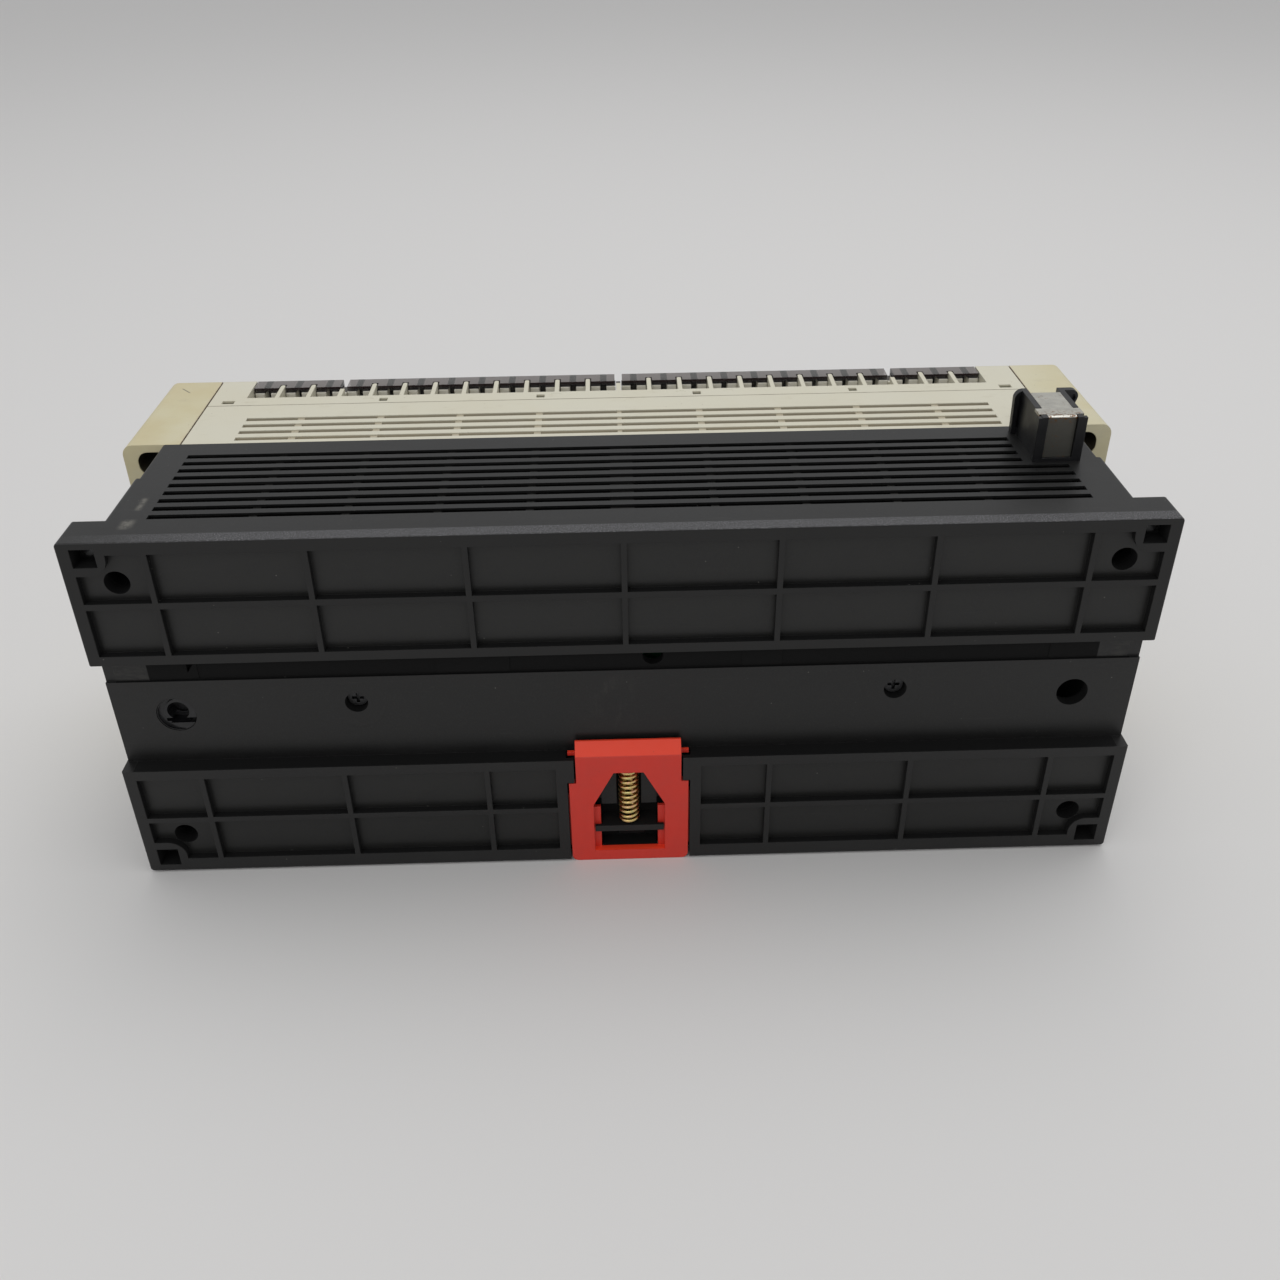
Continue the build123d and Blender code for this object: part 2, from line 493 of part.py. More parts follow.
for row in ("top", "bottom"):
    with BuildPart() as terminal_block:
        block(-block_half, block_half, 85.0, block_front, level(panel_high + 0.1, row), level(106.4, row))
        # each terminal sits in a shallow seat with a hole for its screw and a slot for its tail
        with BuildSketch(back_view(block_front)):
            for i in range(cells):
                x = pitch * (i - cells / 2 + 0.5)
                rectangle(x - 3.9, x + 3.9, level(91.8, row), level(101.2, row))
        extrude(amount=0.8, mode=Mode.SUBTRACT)
        with BuildSketch(back_view(84.0)):
            for i in range(cells):
                x = pitch * (i - cells / 2 + 0.5)
                rectangle(x - 0.6, x + 0.6, level(92.0, row), level(93.2, row))
        extrude(amount=-12, mode=Mode.SUBTRACT)
        with BuildSketch(back_view(block_front)):
            for i in range(cells):
                with Locations((pitch * (i - cells / 2 + 0.5), level(97.0, row))):
                    Circle(1.6)
        extrude(amount=7, mode=Mode.SUBTRACT)
    save(f"terminal_block_{row}", terminal_block.part)

    with BuildPart() as terminal_contacts:
        with BuildSketch(back_view(block_front - 0.75)):
            for i in range(cells):
                x = pitch * (i - cells / 2 + 0.5)
                rectangle(x - 3.7, x + 3.7, level(92.0, row), level(101.0, row))
                with Locations((x, level(97.0, row))):
                    Circle(1.6, mode=Mode.SUBTRACT)
        extrude(amount=-plate_y)
        with BuildSketch(back_view(terminal_board_y + board_thickness)):
            for i in range(cells):
                x = pitch * (i - cells / 2 + 0.5)
                rectangle(x - 0.5, x + 0.5, level(92.1, row), level(93.1, row))
        extrude(amount=-(block_front - 0.75 - terminal_board_y - board_thickness + 0.1))
    save(f"terminal_contacts_{row}", terminal_contacts.part)

    with BuildPart() as terminal_screws:
        washer_y = block_front - 0.75 + plate_y
        with BuildSketch(back_view(washer_y)):
            for i in range(cells):
                with Locations((pitch * (i - cells / 2 + 0.5), level(97.0, row))):
                    RectangleRounded(6.4, 6.4, 0.8)
        extrude(amount=-0.7)
        with BuildSketch(back_view(washer_y + 0.7)):
            for i in range(cells):
                with Locations((pitch * (i - cells / 2 + 0.5), level(97.0, row))):
                    Circle(2.8)
        extrude(amount=-2.0)
        with BuildSketch(back_view(89.0)):
            for i in range(cells):
                with Locations((pitch * (i - cells / 2 + 0.5), level(97.0, row))):
                    Circle(1.45)
        extrude(amount=-(washer_y - 89.0 + 0.1))
        with BuildSketch(back_view(washer_y + 1.5)):
            for i in range(cells):
                with Locations((pitch * (i - cells / 2 + 0.5), level(97.0, row))):
                    Rectangle(3.6, 0.8)
                    Rectangle(0.8, 3.6)
        extrude(amount=-2.0, mode=Mode.SUBTRACT)
    save(f"terminal_screws_{row}", terminal_screws.part)

    # L-shaped covers, one for each span between the pillars; each turns on two pins near its lower edge
    for number, (x0, x1) in enumerate(lid_spans, 1):
        with BuildPart() as terminal_cover:
            with BuildSketch(side_view(x0)):
                rectangle(rear_y(108.7), rear_y(depth), level(85.8, row), level(110.9, row))
                rectangle(rear_y(103.4), rear_y(depth), level(109.6, row), level(110.9, row))
            extrude(amount=x1 - x0)
            rim = terminal_cover.edges().filter_by(Axis.X).group_by(Axis.Y)[-1]
            fillet(rim.sort_by(Axis.Z)[-1 if row == "top" else 0], 0.6)
            # slots around the dividers
            with BuildSketch(Plane.XY.offset(level(108.5, row))):
                for i in range(1 - cells // 2, cells // 2):
                    x = pitch * i
                    if x0 < x < x1:
                        rectangle(x - 1.05, x + 1.05, rear_y(102), rear_y(106.0))
            extrude(amount=3 if row == "top" else -3, mode=Mode.SUBTRACT)
            hinge_level = level(hinge_z, row)
            for lug0, lug1 in lug_spans((x0, x1)):
                block(lug0 - 0.3, lug1 + 0.3, 108, depth + 1, hinge_level - 3.0, hinge_level + 3.0,
                      mode=Mode.SUBTRACT)
            for end, inward in ((x0, 1), (x1, -1)):
                cross_rod(end, end + inward * 1.2, hinge_y, hinge_level, 2.0)
                block(end, end + inward * 1.2, hinge_y, 109, hinge_level - 2.0, hinge_level + 2.0)
                cross_rod(end + inward, end + inward * 3.6, hinge_y, hinge_level, pin_r)
        save(f"terminal_cover_{row}_{number}", terminal_cover.part)

# ---------------------------------------------------------------- front fittings
for name, z0, z1 in (("input_led_window", 66.0, 76.0), ("output_led_window", 35.0, 45.0)):
    with BuildPart() as led_window:
        block(led_x0 + 0.1, led_x1 - 0.1, depth - 2.6, depth - 0.3, z0 + 0.1, z1 - 0.1)
        block(led_x0 - 1.5, led_x1 + 1.5, depth - 3.6, depth - 2.6, z0 - 1.5, z1 + 1.5)
    save(name, led_window.part)

door_x0, door_x1, door_z0, door_z1 = 40.3, 83.7, 34.3, 76.7
with BuildPart() as port_door:
    block(door_hinge_x, door_x1, 108.0, depth, door_z0, door_z1)
    with Locations((door_hinge_x, rear_y(door_hinge_y), (door_z0 + door_z1) / 2)):
        Cylinder(barrel_r, door_z1 - door_z0)
        Cylinder(door_pin_r, door_z1 - door_z0 + 2.6)
    block(door_x1 - 2.2, door_x1 - 1.0, 105.4, 108.1, 50.0, 61.0)
    # raised finger rib along the free edge
    block(door_x1 - 5.0, door_x1 - 3.8, 106.8, 108.1, door_z0 + 3, door_z1 - 3)
save("port_door", port_door.part)

with BuildPart() as panel_board:
    block(-114, 114, panel_board_y, panel_board_y + board_thickness, 33, 78)
save("panel_board", panel_board.part)

board_front = panel_board_y + board_thickness
with BuildPart() as programming_port:
    block(47, 77, board_front, 103.5, 42, 58)
    block(49, 75, board_front + 1.4, 104, 44, 56, mode=Mode.SUBTRACT)
    block(60, 64, 101.5, 104, 41, 45, mode=Mode.SUBTRACT)
save("programming_port", programming_port.part)

with BuildPart() as port_pins:
    with BuildSketch(back_view(board_front + 1.4)):
        with Locations((62, 50)):
            with GridLocations(2.54, 2.54, 9, 3):
                Rectangle(0.64, 0.64)
    extrude(amount=-3.0)
save("port_pins", port_pins.part)

with BuildPart() as memory_socket:
    block(47, 77, board_front, 103.5, 62.5, 71.5)
    block(50, 74, board_front + 1.5, 104, 65.5, 68.5, mode=Mode.SUBTRACT)
save("memory_socket", memory_socket.part)

with BuildPart() as mode_switch:
    block(switch_x - 6, switch_x + 6, board_front, 104.2, 35.5, 54.5)
    block(switch_x - 1.6, switch_x + 1.6, 101.0, 105, 38.5, 51.5, mode=Mode.SUBTRACT)
save("mode_switch", mode_switch.part)

with BuildPart() as mode_lever:
    block(switch_x - 1.1, switch_x + 1.1, 101.4, 106, 46.2, 49.6)
    block(switch_x - 3.1, switch_x + 3.1, 105.0, depth - 0.2, 45.2, 50.6)
    for z in (46.5, 47.9, 49.3):
        block(switch_x - 4, switch_x + 4, depth - 0.7, depth, z - 0.3, z + 0.3, mode=Mode.SUBTRACT)
save("mode_lever", mode_lever.part)

with BuildPart() as status_leds:
    for i in range(4):
        rod(switch_x, 60.0 + 5.5 * i, board_front, depth - 1.2, 1.5)
    fillet(status_leds.edges().group_by(Axis.Y)[-1], 1.2)
save("status_leds", status_leds.part)

with BuildPart() as io_leds:
    with BuildSketch(back_view(board_front)):
        for z in (71.0, 40.0):
            for i in range(24):
                with Locations((led_x0 + 5.0 + 5.7 * i, z)):
                    Rectangle(2.0, 4.4)
    extrude(amount=-6.0)
save("io_leds", io_leds.part)

# ---------------------------------------------------------------- boards and what stands on them
def board(y, holes_r):
    """Circuit board across the box, with holes at the posts."""
    block(-122, 122, y, y + board_thickness, 9, 102)
    for x, z in post_places:
        rod(x, z, y - 1, y + 3, holes_r, mode=Mode.SUBTRACT)


with BuildPart() as power_board:
    board(power_board_y, 1.3)
    for side in (-1, 1):
        rod(side * 75.2, 56.5, power_board_y - 1, power_board_y + 3, 1.6, mode=Mode.SUBTRACT)
save("power_board", power_board.part)

with BuildPart() as main_board:
    board(main_board_y, 1.6)
save("main_board", main_board.part)

with BuildPart() as board_standoffs:
    for x, z in post_places:
        with BuildSketch(back_view(power_board_y + board_thickness)):
            with Locations((x, z)):
                RegularPolygon(3.0, 6)
        extrude(amount=-(main_board_y - power_board_y - board_thickness))
        rod(x, z, 11.5, power_board_y + board_thickness + 0.5, 1.25)
        rod(x, z, main_board_y - 8, main_board_y + 1, 1.45, mode=Mode.SUBTRACT)
save("board_standoffs", board_standoffs.part)

with BuildPart() as board_screws:
    for x, z in post_places:
        rod(x, z, main_board_y - 6, main_board_y + board_thickness + 0.5, 1.4)
        rod(x, z, main_board_y + board_thickness, main_board_y + board_thickness + 1.9, 2.7)
        block(x - 1.7, x + 1.7, main_board_y + 2.5, main_board_y + 4, z - 0.4, z + 0.4, mode=Mode.SUBTRACT)
save("board_screws", board_screws.part)

for row in ("top", "bottom"):
    with BuildPart() as terminal_board:
        block(-117, 117, terminal_board_y, terminal_board_y + board_thickness, level(84.0, row),
              level(107.6, row))
    save(f"terminal_board_{row}", terminal_board.part)

power_front = power_board_y + board_thickness
main_front = main_board_y + board_thickness

with BuildPart() as transformer_core:
    block(-66, -14, power_front + 4, power_front + 30, 34, 78)
    for x in (-53, -27):
        block(x - 5, x + 5, power_front + 3, power_front + 31, 41, 71, mode=Mode.SUBTRACT)
save("transformer_core", transformer_core.part)

with BuildPart() as transformer_winding:
    block(-57.8, -22.2, power_front, power_front + 34, 41.2, 70.8)
    block(-48.2, -31.8, power_front + 3.8, power_front + 30.2, 34, 78, mode=Mode.SUBTRACT)
save("transformer_winding", transformer_winding.part)

with BuildPart() as capacitors:
    for x, z, radius, tall in ((2, 66, 9, 32), (2, 44, 9, 32), (24, 62, 6.5, 24), (24, 46, 6.5, 24),
                               (24, 30, 5, 18), (90, 84, 5, 16)):
        rod(x, z, power_front, power_front + tall, radius)
save("capacitors", capacitors.part)

with BuildPart() as heat_sink:
    block(40, 70, power_front, power_front + 2.5, 62, 96)
    for i in range(6):
        block(40 + 5.6 * i, 42 + 5.6 * i, power_front + 2, power_front + 24, 62, 96)
save("heat_sink", heat_sink.part)

with BuildPart() as regulators:
    for x in (46, 58):
        block(x - 2, x + 8, power_front, power_front + 4.6, 55, 61.8)
save("regulators", regulators.part)

fuse_z = 95.0
with BuildPart() as fuse_clips:
    for x in (-101, -83):
        block(x - 3, x + 3, power_front, power_front + 8, fuse_z - 5, fuse_z + 5)
        cross_rod(x - 4, x + 4, power_front + 5, fuse_z, 2.6, mode=Mode.SUBTRACT)
        block(x - 4, x + 4, power_front + 5, power_front + 9, fuse_z - 2.2, fuse_z + 2.2, mode=Mode.SUBTRACT)
save("fuse_clips", fuse_clips.part)

with BuildPart() as fuse:
    cross_rod(-103.5, -80.5, power_front + 5, fuse_z, 2.5)
save("fuse", fuse.part)

with BuildPart() as relays:
    for i in range(12):
        x = -99 + 18 * i
        block(x - 7.5, x + 7.5, main_front, main_front + 15.5, 26, 36)
save("relays", relays.part)

with BuildPart() as optocouplers:
    for i in range(12):
        x = -99 + 18 * i
        block(x - 5, x + 5, main_front, main_front + 3.8, 80, 86.5)
save("optocouplers", optocouplers.part)

with BuildPart() as logic_chips:
    for x, z, wide, tall in ((-60, 58, 52, 15), (0, 62, 24, 24), (45, 62, 36, 14), (45, 46, 20, 8)):
        block(x - wide / 2, x + wide / 2, main_front, main_front + 4.2, z - tall / 2, z + tall / 2)
save("logic_chips", logic_chips.part)

with BuildPart() as battery:
    cross_rod(80, 106, main_front + 8.6, 60, 7.2)
save("battery", battery.part)

with BuildPart() as battery_holder:
    block(76, 110, main_front, main_front + 12, 51, 69)
    cross_rod(79.8, 106.2, main_front + 8.6, 60, 7.4, mode=Mode.SUBTRACT)
    block(79.8, 106.2, main_front + 8.6, main_front + 13, 52.6, 67.4, mode=Mode.SUBTRACT)
save("battery_holder", battery_holder.part)

with BuildPart() as ribbon_cables:
    for x in (-70, 70):
        for row in ("top", "bottom"):
            z = level(97.0, row)
            block(x - 16, x + 16, main_front + 6, terminal_board_y, z - 0.5, z + 0.5)
    block(-16, 16, main_front + 6, panel_board_y, 55.0, 56.0)
save("ribbon_cables", ribbon_cables.part)

with BuildPart() as board_connectors:
    for x in (-70, 70):
        for row in ("top", "bottom"):
            z = level(97.0, row)
            block(x - 18, x + 18, main_front, main_front + 6, z - 2.5, z + 2.5)
    block(-18, 18, main_front, main_front + 6, 44, 49)
save("board_connectors", board_connectors.part)

# ---------------------------------------------------------------- bus connector on the top
guard_in, guard_out, post_out = 4.1, 5.7, 6.7
guard_widen = 0.5          # the right wall stands this far further out in front of the step
guard_back, guard_step, guard_front, guard_top = 35.4, 42.4, 56.9, 124.0
flange_thick, rim = 2.0, 1.3

with BuildPart() as bus_guard:
    for side, flare, round_r, widen in ((-1, 7.7, 2.4, 0), (1, 11.2, 2.0, guard_widen)):
        block(bus_x + side * guard_in, bus_x + side * guard_out, guard_back, guard_step + 0.1,
              height, guard_top)
        block(bus_x + side * (guard_in + widen), bus_x + side * (guard_out + widen), guard_step, guard_front,
              height, guard_top)
        # end flange that leans outwards, with a rounded upper corner
        with BuildSketch(back_view(guard_front - flange_thick)) as flange:
            with BuildLine():
                Polyline((bus_x + side * (guard_in + widen), height),
                         (bus_x + side * (guard_out + 1.6), height), (bus_x + side * flare, guard_top),
                         (bus_x + side * (guard_in + widen), guard_top), close=True)
            make_face()
            outermost = flange.vertices().sort_by(Axis.X)[-1 if side > 0 else 0]
            fillet(outermost, round_r)
        extrude(amount=-flange_thick)
        # its rear face is hollowed inside a rim
        with BuildSketch(back_view(guard_front - flange_thick)):
            with BuildLine():
                Polyline((bus_x + side * (guard_out + widen), height + 2),
                         (bus_x + side * (guard_out + widen + 0.4), height + 2),
                         (bus_x + side * (flare - rim), guard_top - rim - 1),
                         (bus_x + side * (flare - rim - 0.5), guard_top - rim),
                         (bus_x + side * (guard_out + widen), guard_top - rim), close=True)
            make_face()
        extrude(amount=-0.9, mode=Mode.SUBTRACT)
        # thicker rear post
        block(bus_x + side * guard_in, bus_x + side * post_out, guard_back, guard_back + 1.5, height,
              guard_top - 0.2)
    # lower the rear part of both walls to the underside of the metal
    block(bus_x - 9, bus_x + 12, 37.6, guard_step, guard_top - 0.9, guard_top + 1, mode=Mode.SUBTRACT)
    block(bus_x - guard_out, bus_x + guard_out + guard_widen, guard_back, guard_front, height, height + 1.0)
    block(bus_x - 3.3, bus_x + 3.3, 38.0, 45.0, height - 1, height + 2, mode=Mode.SUBTRACT)
save("bus_guard", bus_guard.part)

with BuildPart() as bus_shield:
    block(bus_x - 4.0, bus_x + 4.0, 36.2, 37.0, height + 1.0, guard_top)
    block(bus_x - 4.0, bus_x + 4.0, 36.2, 42, guard_top - 0.8, guard_top)
    block(bus_x - 4.0, bus_x + 4.0 + guard_widen, 41, 53.4, guard_top - 0.8, guard_top)
    block(bus_x - guard_out - 0.3, bus_x + guard_out + 0.6, 37.8, 41.9, guard_top - 0.8, guard_top)
    fillet(bus_shield.edges().filter_by(Axis.X).group_by(Axis.Y)[0].sort_by(Axis.Z)[-1], 0.6)
save("bus_shield", bus_shield.part)

with BuildPart() as bus_connector:
    block(bus_x - 3.1, bus_x + 3.1, 38.2, 44.8, height - 8, height + 2)
    block(bus_x - 4.0, bus_x + 4.0, 37.2, 46.0, height + 1.2, guard_top - 1.0)
save("bus_connector", bus_connector.part)

with BuildPart() as bus_pins:
    with BuildSketch(back_view(46.0)):
        with Locations((bus_x, height + 6.6)):
            with GridLocations(2.54, 2.54, 3, 4):
                Rectangle(0.64, 0.64)
    extrude(amount=-4.5)
save("bus_pins", bus_pins.part)
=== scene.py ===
"""Looks of the brick-type controller: materials, the coil spring, small marks, light and camera.

Everything is in metres in the row frame. Materials read each piece's own position in millimetres, with Y
counted from the rear face, so that a worn band or a smudge is placed the way the CAD dimensions are.
"""
import json
from math import cos, pi, radians, sin

import bmesh
import bpy
from mathutils import Matrix, Vector


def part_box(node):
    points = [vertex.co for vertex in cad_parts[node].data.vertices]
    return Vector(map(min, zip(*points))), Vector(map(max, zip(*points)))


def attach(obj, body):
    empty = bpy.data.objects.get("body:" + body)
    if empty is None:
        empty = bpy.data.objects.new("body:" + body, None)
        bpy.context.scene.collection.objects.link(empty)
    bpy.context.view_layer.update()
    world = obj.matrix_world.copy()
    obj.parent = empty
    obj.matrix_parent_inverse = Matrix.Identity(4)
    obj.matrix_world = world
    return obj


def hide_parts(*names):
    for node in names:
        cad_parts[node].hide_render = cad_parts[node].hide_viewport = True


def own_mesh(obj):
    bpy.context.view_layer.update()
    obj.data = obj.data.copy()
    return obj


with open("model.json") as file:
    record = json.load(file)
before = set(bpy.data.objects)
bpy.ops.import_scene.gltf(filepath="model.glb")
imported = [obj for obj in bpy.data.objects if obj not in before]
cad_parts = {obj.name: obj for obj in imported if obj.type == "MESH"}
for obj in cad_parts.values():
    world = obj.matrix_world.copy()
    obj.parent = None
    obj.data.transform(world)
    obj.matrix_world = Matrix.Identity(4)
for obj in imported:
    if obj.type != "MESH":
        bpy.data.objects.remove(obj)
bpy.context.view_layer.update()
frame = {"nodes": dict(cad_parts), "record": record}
nodes = frame["nodes"]
slot_of = {part["node"]: part["material_slot"] for part in frame["record"]["subparts"]}

MM = 0.001
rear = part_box("base_housing")[0].y             # Y of the rear face
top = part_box("base_housing")[1].z              # height of the casing
TERMINAL_PITCH = 9.78                          # millimetres from one terminal to the next
COMB_GAP = 3.9, 5.95                           # open span between the two comb posts of a terminal
SHADE_BLACK = (0.0010, 0.0010, 0.0010)            # black painted where shade falls: pockets, channel, slots and the inside


# ---------------------------------------------------------------- node materials
class Surface:
    """A node material. Its position socket is in millimetres: X, depth from the rear face, Z."""

    def __init__(self, name, colour, roughness, metallic=0.0, ior=1.5):
        self.material = bpy.data.materials.new(name)
        self.material.use_nodes = True
        self.nodes = self.material.node_tree.nodes
        self.links = self.material.node_tree.links
        self.shader = self.nodes["Principled BSDF"]
        self.shader.inputs["Metallic"].default_value = metallic
        self.shader.inputs["IOR"].default_value = ior
        self.colour = (*colour, 1.0)
        self.roughness = roughness
        self.normal = None
        coordinates = self.nodes.new("ShaderNodeTexCoord")
        shift = self.vector("SUBTRACT", coordinates.outputs["Object"], (0.0, rear, 0.0))
        self.position = self.vector("SCALE", shift, 1 / MM)
        parts = self.nodes.new("ShaderNodeSeparateXYZ")
        self.feed(parts.inputs[0], self.position)
        self.x, self.depth, self.z = parts.outputs
        facing = self.nodes.new("ShaderNodeSeparateXYZ")
        self.feed(facing.inputs[0], coordinates.outputs["Normal"])
        self.facing = facing.outputs

    def feed(self, socket, value):
        """Link a socket to an input, or set the input to a constant."""
        if isinstance(value, bpy.types.NodeSocket):
            self.links.new(value, socket)
        elif value is not None:
            socket.default_value = value

    def vector(self, operation, first, second):
        node = self.nodes.new("ShaderNodeVectorMath")
        node.operation = operation
        self.feed(node.inputs[0], first)
        self.feed(node.inputs[3 if operation == "SCALE" else 1], second)
        return node.outputs["Value" if operation in ("DOT_PRODUCT", "LENGTH") else "Vector"]

    def math(self, operation, first, second=None):
        node = self.nodes.new("ShaderNodeMath")
        node.operation = operation
        self.feed(node.inputs[0], first)
        self.feed(node.inputs[1], second)
        return node.outputs[0]

    def both(self, *masks):
        """Product of several masks."""
        result = masks[0]
        for mask in masks[1:]:
            result = self.math("MULTIPLY", result, mask)
        return result

    def either(self, *masks):
        """The larger of several masks."""
        result = masks[0]
        for mask in masks[1:]:
            result = self.math("MAXIMUM", result, mask)
        return result

    def step(self, value, start, end, low=0.0, high=1.0):
        """Smooth step from low at start to high at end."""
        node = self.nodes.new("ShaderNodeMapRange")
        node.interpolation_type = "SMOOTHSTEP"
        self.feed(node.inputs["Value"], value)
        for name, number in (("From Min", start), ("From Max", end), ("To Min", low), ("To Max", high)):
            node.inputs[name].default_value = number
        return node.outputs["Result"]

    def within(self, value, low, high, soft=0.3):
        """1 between low and high, fading out over soft."""
        rise = self.step(value, low - soft, low + soft)
        fall = self.step(value, high - soft, high + soft, 1.0, 0.0)
        return self.both(rise, fall)

    def area(self, x=None, depth=None, z=None, soft=0.3):
        """Mask of a box given by the spans that matter."""
        spans = ((self.x, x), (self.depth, depth), (self.z, z))
        return self.both(*[self.within(value, *span, soft) for value, span in spans if span])

    def ring(self, x, z, radius, width):
        """Mask of a ring on the back around the point (x, z)."""
        across = self.math("SUBTRACT", self.x, x)
        up = self.math("SUBTRACT", self.z, z)
        squares = self.math("ADD", self.math("MULTIPLY", across, across), self.math("MULTIPLY", up, up))
        away = self.math("SQRT", squares)
        return self.within(away, radius - width / 2, radius + width / 2, width / 2)

    def noise(self, size, detail=3.0, roughness=0.55, stretch=(1.0, 1.0, 1.0)):
        """Noise with features about this many millimetres large, drawn out along an axis by stretch."""
        node = self.nodes.new("ShaderNodeTexNoise")
        where = self.vector("MULTIPLY", self.position, tuple(1 / s for s in stretch))
        self.feed(node.inputs["Vector"], where)
        node.inputs["Scale"].default_value = 1 / size
        node.inputs["Detail"].default_value = detail
        node.inputs["Roughness"].default_value = roughness
        return node.outputs["Fac"]

    def specks(self, size, share):
        """Mask of sparse specks: the middles of those Voronoi cells whose lot falls in share."""
        node = self.nodes.new("ShaderNodeTexVoronoi")
        self.feed(node.inputs["Vector"], self.position)
        node.inputs["Scale"].default_value = 1 / (4 * size)
        near = self.step(node.outputs["Distance"], 0.06, 0.14, 1.0, 0.0)
        lot = self.nodes.new("ShaderNodeSeparateColor")
        self.feed(lot.inputs[0], node.outputs["Color"])
        chosen = self.math("LESS_THAN", lot.outputs[0], share)
        return self.both(near, chosen)

    def edges(self, radius):
        """Mask of the sharp edges within this radius, and rounded normals along them."""
        bevel = self.nodes.new("ShaderNodeBevel")
        bevel.samples = 4
        bevel.inputs["Radius"].default_value = radius * MM
        geometry = self.nodes.new("ShaderNodeNewGeometry")
        same = self.vector("DOT_PRODUCT", bevel.outputs[0], geometry.outputs["Normal"])
        self.normal = bevel.outputs[0]
        return self.step(same, 0.995, 0.9, 0.0, 1.0)

    def tint(self, mask, colour):
        """Blend the colour so far towards this one where the mask is 1."""
        node = self.nodes.new("ShaderNodeMix")
        node.data_type = "RGBA"
        colours = [s for s in node.inputs if s.type == "RGBA"]
        self.feed(node.inputs[0], mask)
        self.feed(colours[0], self.colour)
        self.feed(colours[1], (*colour, 1.0))
        self.colour = [s for s in node.outputs if s.type == "RGBA"][0]

    def roughen(self, mask, roughness):
        """Move the roughness so far towards this one where the mask is 1."""
        node = self.nodes.new("ShaderNodeMix")
        self.feed(node.inputs[0], mask)
        self.feed(node.inputs[2], self.roughness)
        self.feed(node.inputs[3], roughness)
        self.roughness = node.outputs[0]

    def bump(self, height, depth, strength=1.0):
        """Add relief of this depth in millimetres."""
        node = self.nodes.new("ShaderNodeBump")
        node.inputs["Strength"].default_value = strength
        node.inputs["Distance"].default_value = depth * MM
        self.feed(node.inputs["Height"], height)
        self.feed(node.inputs["Normal"], self.normal)
        self.normal = node.outputs["Normal"]

    def done(self, **sockets):
        """Connect what was made, set other sockets of the shader, and return the material."""
        self.feed(self.shader.inputs["Base Color"], self.colour)
        self.feed(self.shader.inputs["Roughness"], self.roughness)
        self.feed(self.shader.inputs["Normal"], self.normal)
        for name, value in sockets.items():
            self.shader.inputs[name.replace("_", " ")].default_value = value
        return self.material


